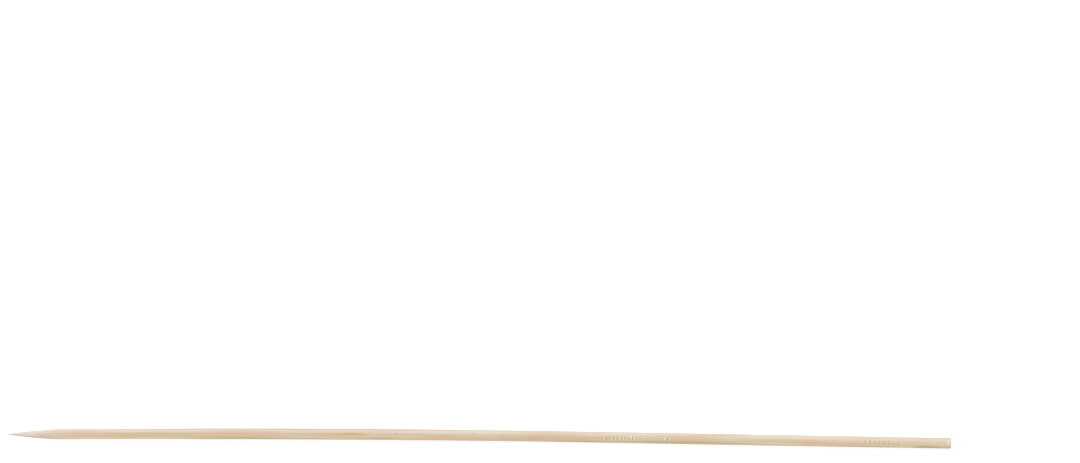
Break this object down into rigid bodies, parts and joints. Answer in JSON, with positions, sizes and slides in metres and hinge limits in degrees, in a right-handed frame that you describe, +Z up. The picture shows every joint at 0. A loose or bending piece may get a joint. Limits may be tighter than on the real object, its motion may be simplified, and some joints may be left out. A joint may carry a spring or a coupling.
{
  "type": "bamboo skewer",
  "caption": "Slim round bamboo stick with a long ground point at one end, a square sawn butt at the other and one soft sideways bend, lying flat.",
  "frame": {"origin": "on the surface that the skewer lies on, under the middle of its outline", "axes": "+X from the ground point to the sawn butt, +Y towards the side that the stick bows to, +Z up"},
  "size_m": [0.25, 0.0042, 0.0029],
  "materials": {
    "bamboo": "satin"
  },
  "bodies": {
    "root": {"skewer": "bamboo"}
  },
  "joints": []
}
